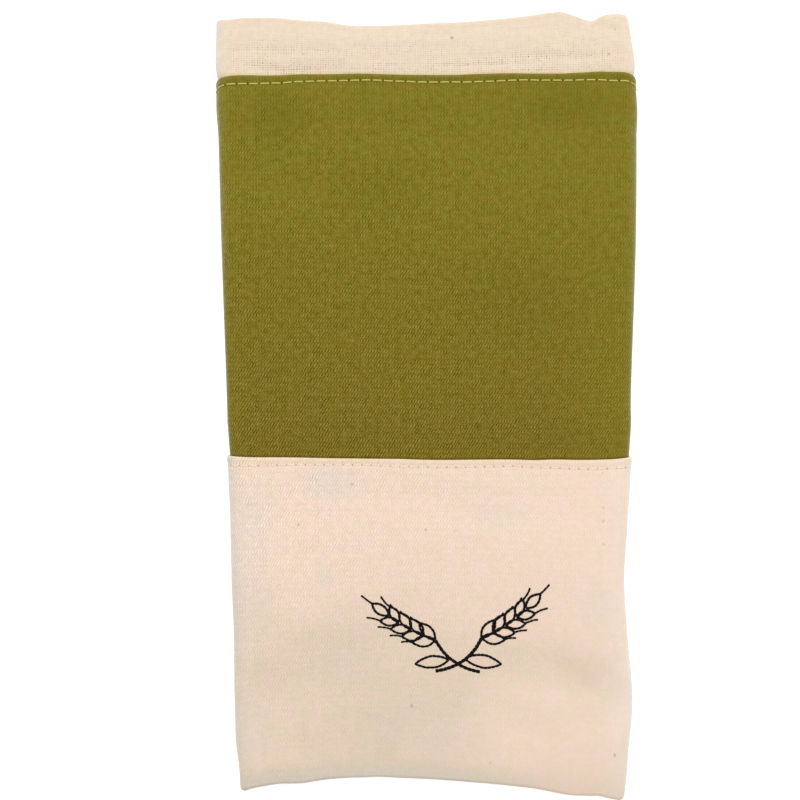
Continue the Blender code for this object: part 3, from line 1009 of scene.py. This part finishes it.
def olive_twill_material():
    """Olive twill, browner and more plainly ribbed low down, with painted shade along its seams and
    in its needle holes, and a painted paler sheen along its turned edge and its side folds.
    """
    material, tree, shader = cloth_material("olive_twill", 0.05, 0.4)
    flat, u, v = place_on(tree)
    seen = (BODY_HEIGHT, UPPER_SEAM_HEIGHT)
    greener = ramp(tree, cloudy(tree, flat, 200.0, 1.0), 0.44, 0.60)
    greener = times(tree, greener, ramp(tree, v, *seen, 0.25, 0.6))
    colour = blend(tree, greener, OLIVE, OLIVE_GREENER)
    browner = (
        ramp(tree, v, BODY_HEIGHT, BODY_HEIGHT + 110.0 * MM, 1.0, 0.0),
        ramp(tree, u, 46.0 * MM, 68.0 * MM, 1.0, 0.1),
        ramp(tree, u, -71.0 * MM, -64.0 * MM, 0.3, 1.0),
    )
    colour = tinted(tree, times(tree, *browner), colour, OLIVE_BROWNER)
    colour = tinted(tree, patched(tree, OLIVE_DEEPER), colour, OLIVE_DEEP)

    warps_shown = ramp(tree, v, *seen, 0.36, 0.8)
    ribs = twill_ribs(tree, 60.0, 0.89 * MM, warps_shown, 0.4)
    clouds = times(tree, mottled(tree, flat, 420.0, 2.0), ramp(tree, v, *seen, 1.4, 3.4))
    ribs = op(tree, "ADD", ribs, clouds)
    shown = ramp(tree, v, *seen, 0.30, 0.11)
    shown = times(tree, shown, ramp(tree, u, 0.0, 70.0 * MM, 1.0, 0.75))
    colour = toned(tree, colour, times(tree, ribs, shown), 1.0, 0.055)

    shaded = ramp(tree, v, BODY_HEIGHT + 0.3 * MM, BODY_HEIGHT + 0.9 * MM, 1.0, 0.0)
    colour = tinted(tree, shaded, colour, OLIVE_SHADED)
    # Painted shade on the strip between the stitches and the turned edge
    turned = ramp(tree, v, UPPER_SEAM_HEIGHT - 4.5 * MM, UPPER_SEAM_HEIGHT - 1.8 * MM)
    colour = tinted(tree, turned, colour, OLIVE_STITCH_SHADE)
    # Painted sheen: paler along the band's rolled top edge
    edge_sheen = ramp(tree, v, UPPER_SEAM_HEIGHT - 1.2 * MM, UPPER_SEAM_HEIGHT - 0.1 * MM)
    colour = tinted(tree, edge_sheen, colour, OLIVE_EDGE_SHEEN)
    # Painted sheen along the side folds
    colour = sheen_at_side_folds(tree, colour, OLIVE_FOLD_SHEEN, 73.5 * MM)
    # Painted shade in the needle holes
    holes = times(tree, needle_holes(tree, UPPER_PITCH, 0.55 * MM), 0.85)
    finish(tree, shader, blend(tree, holes, colour, UPPER_HOLE_SHADE), ribs, 0.025 * MM)
    return material


UPPER_STITCH_LINE = (
    Drop(-80, 3.3),
    Drop(-60, 3.4),
    Drop(-45, 3.05),
    Drop(-22, 2.6),
    Drop(0, 2.8),
    Drop(20, 2.9),
    Drop(46, 2.65),
    Drop(60, 3.2),
    Drop(80, 3.5),
)


def upper_stitch_height(u):
    """Height of the band's topstitching along its turned edge."""
    return UPPER_SEAM_HEIGHT - on_curve(UPPER_STITCH_LINE, "below", u)


def lapped(height, seam):
    """How much deeper a cloth lies where its lower edge runs in under its neighbour's."""
    return LAPPED * (1 - eased((height - seam) / RELAX))


buried = [Row(h, TWILL_PLY / 2 + LAPPED, h) for h in np.linspace(BODY_HEIGHT - LAP, BODY_HEIGHT, 7)]
band_rows = hem(UPPER_SEAM_HEIGHT, HEM, TWILL_PLY, TWILL_CLOTH)
for row in face_rows(UPPER_SEAM_HEIGHT, BODY_HEIGHT, TWILL_PLY, TWILL_CLOTH, step=1.3 * MM):
    band_rows.append(row._replace(depth=row.depth + lapped(row.height, BODY_HEIGHT)))
band_rows += buried[-2::-1]
olive_band = tube_piece(
    "olive_band", band_rows, FRONT_COLUMNS, upper_stitch_height, TWILL_CLOTH, olive_twill_material()
)
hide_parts("band")
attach(olive_band, "root")

# ----------------------------------------
# Upper topstitching. Light yellow-green thread in longer stitches, sewn all round through the
# band's turned edge and the collar under it.

UPPER_THREAD = Thread(0.58 * MM, 0.42 * MM, 0.02 * MM, 0.17 * MM, 1.0 * MM, 0.35)
lime_thread = thread_material("lime_thread", (0.50, 0.44, 0.09), 0.2, 0.25)
topstitch("upper_topstitch", upper_stitch_height, UPPER_PITCH, UPPER_THREAD, lime_thread, 23)

# ----------------------------------------
# Collar. Thin undyed muslin round the mouth, in an open plain weave with thick and thin threads;
# its lower edge is sewn in under the band, and its mouth edge is folded over to the inside.

MUSLIN = 0.36 * MM
MUSLIN_PLY = 0.42 * MM
COLLAR_HEM = 11.0 * MM
WARP_PITCH = 0.94 * MM
WEFT_PITCH = 0.77 * MM
MUSLIN_COLOUR = (0.612, 0.517, 0.387)
MUSLIN_WARMER = (0.625, 0.503, 0.397)
# Tints, which multiply a colour
MUSLIN_UPPER_SHADE = (0.955, 0.955, 0.965)
MUSLIN_MOUTH_SHADE = (0.985, 0.98, 0.97)
MUSLIN_BAND_BOUNCE = (1.0, 0.98, 0.80)
MUSLIN_FOLD_SHEEN = (1.0, 1.06, 1.12)
COLLAR_COLUMNS = (4, 12, 12, 180, 12, 12, 4)
COLLAR_SEEDS = (
    Patch(8.6, 270.4, 0.85, 0.7, 0.95),
    Patch(26.5, 273.2, 0.6, 0.5, 0.35),
    Patch(-44.6, 263.6, 0.55, 0.55, 0.6),
    Patch(64.6, 262.4, 0.6, 0.6, 0.8),
    Patch(67, 271, 0.55, 0.55, 0.5),
    Patch(67, 275.2, 0.45, 0.45, 0.4),
    Patch(14.3, 260.2, 0.7, 0.4, 0.6),
)
# Darker runs: open weave, with painted crease shade in some of them
OPEN_RUNS_AND_SHADE = (
    Patch(-50, 265.3, 28, 1.8, 0.9, -0.6),
    Patch(-8, 266.7, 22, 1.6, 0.5),
    Patch(-58, 260, 10, 1.8, 1.4),
    Patch(-48, 257.8, 13, 2.8, 1.9),
    Patch(-66, 260.8, 9, 1.8, 0.7, -4),
    Patch(34, 261.3, 35, 2, 1.6, 2.1),
    Patch(44, 257.4, 26, 1.5, 1),
    Patch(-4, 258.8, 40, 2, 0.6),
)


def muslin_material():
    """Muslin of thick and thin threads, with pores between them that show in runs and patches. It
    has painted shade in some runs, below the mouth and on the mouth edge, painted yellow bounce
    light from the band above the seam, and a painted paler sheen along the side folds.
    """
    material, tree, shader = cloth_material("muslin", 0.12, 0.35)
    flat, u, v = place_on(tree)
    warp_slubs = mottled(tree, flat, 1.0, 1.0, (1000.0, 60.0, 1.0))
    weft_slubs = mottled(tree, flat, 1.0, 1.0, (50.0, 1000.0, 1.0))
    threads = []
    cell = tree.nodes.new("ShaderNodeCombineXYZ")
    laid = ((u, WARP_PITCH, warp_slubs), (v, WEFT_PITCH, weft_slubs))
    for axis, (part, pitch, slubs) in enumerate(laid):
        phase = op(tree, "MULTIPLY_ADD", slubs, 0.7, op(tree, "DIVIDE", part, pitch))
        threads.append(op(tree, "SINE", times(tree, phase, math.tau)))
        tree.links.new(op(tree, "FLOOR", op(tree, "ADD", phase, 0.25)), cell.inputs[axis])
    chance = tree.nodes.new("ShaderNodeTexWhiteNoise")
    chance.noise_dimensions = "2D"
    tree.links.new(cell.outputs[0], chance.inputs["Vector"])
    pores = [ramp(tree, thread, 0.1, 1.0) for thread in threads]
    pores = times(tree, *pores, ramp(tree, chance.outputs[0], 0.3, 1.0, 0.0, 2.7))
    weave = times(tree, op(tree, "ADD", *threads), -0.35)
    weave = op(tree, "MULTIPLY_ADD", pores, -1.75, weave)

    # Darker in the runs: open weave and painted shade
    runs_and_shade = patched(tree, OPEN_RUNS_AND_SHADE)
    shown = ramp(tree, cloudy(tree, flat, 1.0, 1.0, (70.0, 500.0, 1.0)), 0.40, 0.62, 0.1, 1.0)
    lower = ramp(tree, v, 263.0 * MM, 273.0 * MM, 0.9, 0.15)
    shown = op(tree, "MULTIPLY_ADD", shown, lower, runs_and_shade)
    tone = op(tree, "MULTIPLY_ADD", runs_and_shade, -0.15, times(tree, weave, shown))
    tone = op(tree, "MULTIPLY_ADD", mottled(tree, flat, 420.0, 2.0), 2.0, tone)
    slubs = op(tree, "MULTIPLY_ADD", warp_slubs, 0.5, weft_slubs)
    tone = op(tree, "MULTIPLY_ADD", slubs, 1.1, tone)
    warmer = ramp(tree, cloudy(tree, flat, 140.0, 1.0), 0.35, 0.65)
    colour = blend(tree, warmer, MUSLIN_COLOUR, MUSLIN_WARMER)
    colour = blend(tree, 1.0, colour, op(tree, "MULTIPLY_ADD", tone, 0.09, 1.018), "MULTIPLY")

    # Painted shade across the collar below its mouth
    upper_shade = ramp(tree, v, BAG_HEIGHT - 14.0 * MM, BAG_HEIGHT - 8.0 * MM)
    colour = tinted(tree, upper_shade, colour, MUSLIN_UPPER_SHADE)
    # Painted shade on the rolled mouth edge
    colour = tinted(tree, ramp(tree, v, BAG_HEIGHT - 6.0 * MM, BAG_HEIGHT), colour, MUSLIN_MOUTH_SHADE)
    # Painted yellow bounce light from the band, just above the seam
    band_bounce = ramp(tree, v, UPPER_SEAM_HEIGHT + 1.6 * MM, UPPER_SEAM_HEIGHT + 0.7 * MM)
    colour = tinted(tree, band_bounce, colour, MUSLIN_BAND_BOUNCE)
    # Painted sheen along the side folds
    colour = sheen_at_side_folds(tree, colour, MUSLIN_FOLD_SHEEN, 74.5 * MM)
    spots = times(tree, flecks(tree, 3.5 * MM, 0.16 * MM, 0.10), 0.6)
    spots = op(tree, "MAXIMUM", spots, times(tree, patched(tree, COLLAR_SEEDS), 0.7))
    finish(tree, shader, blend(tree, spots, colour, FLECK_AND_HOLE_SHADE), weave, 0.02 * MM)
    return material


def no_stitches(u):
    """The collar has no topstitching of its own: its row lies far below it."""
    return np.zeros(np.shape(u))


under_band = TWILL_PLY * 2 + EDGE_ROLL + MUSLIN_PLY / 2
collar_rows = hem(BAG_HEIGHT, COLLAR_HEM, MUSLIN_PLY, MUSLIN)
for height in np.arange(BAG_HEIGHT - (MUSLIN_PLY + MUSLIN) / 2, UPPER_SEAM_HEIGHT, -0.7 * MM):
    sunk = (under_band - MUSLIN_PLY / 2) * (1 - eased((height - UPPER_SEAM_HEIGHT) / RELAX))
    collar_rows.append(Row(height, MUSLIN_PLY / 2 + sunk + rolled(height, BAG_HEIGHT), height))
for height in np.linspace(UPPER_SEAM_HEIGHT, UPPER_SEAM_HEIGHT - LAP, 6):
    collar_rows.append(Row(height, under_band, height))
collar_cloth = tube_piece(
    "collar_cloth", collar_rows, COLLAR_COLUMNS, no_stitches, MUSLIN, muslin_material()
)
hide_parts("collar")
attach(collar_cloth, "root")

# ----------------------------------------
# Floor. A plain white sheet that the folded bag lies on, which glows a little to stay white.

FLOOR_SIZE = 3.0
FLOOR_GLOW = 0.38
floor_white, _, floor_shader = new_material("floor_white", 0.9, 0.1)
floor_shader.inputs["Base Color"].default_value = (0.95, 0.95, 0.95, 1.0)
floor_shader.inputs["Emission Color"].default_value = (1.0, 1.0, 1.0, 1.0)
floor_shader.inputs["Emission Strength"].default_value = FLOOR_GLOW
mesh = bmesh.new()
bmesh.ops.create_grid(mesh, x_segments=1, y_segments=1, size=FLOOR_SIZE / 2)
floor = smooth_object("floor", mesh, floor_white)

# ----------------------------------------
# Light. A white room, and one wide soft light that stands high beyond the mouth.

ROOM_STRENGTH = 0.72
LAMP_PLACE = (0.14, 1.50, 1.60)
LAMP_SIZE = 1.6
LAMP_POWER = 46.5
world = bpy.data.worlds.new("room")
world.use_nodes = True
world.node_tree.nodes["Background"].inputs["Color"].default_value = (1.0, 1.0, 1.0, 1.0)
world.node_tree.nodes["Background"].inputs["Strength"].default_value = ROOM_STRENGTH
scene.world = world
lamp = bpy.data.lights.new("over_mouth", "AREA")
lamp.size = LAMP_SIZE
lamp.energy = LAMP_POWER
holder = bpy.data.objects.new("over_mouth", lamp)
holder.location = LAMP_PLACE
holder.rotation_euler = (-Vector(LAMP_PLACE)).to_track_quat("-Z", "Y").to_euler()
scene.collection.objects.link(holder)
scene.view_settings.view_transform = "Standard"

# ----------------------------------------
# Camera. Straight above, close enough for the edges to draw in a little.

CAMERA_X = -9.7 * MM
CAMERA_Y = 2.6 * MM
CAMERA_ABOVE_FACE = 316.5 * MM
LENS = 40.0
SENSOR_WIDTH = 36.0
camera = bpy.data.cameras.new("camera")
camera.lens = LENS
camera.sensor_width = SENSOR_WIDTH
viewpoint = bpy.data.objects.new("camera", camera)
viewpoint.location = (CAMERA_X, CAMERA_Y, THICKNESS + CAMERA_ABOVE_FACE)
scene.collection.objects.link(viewpoint)
scene.camera = viewpoint
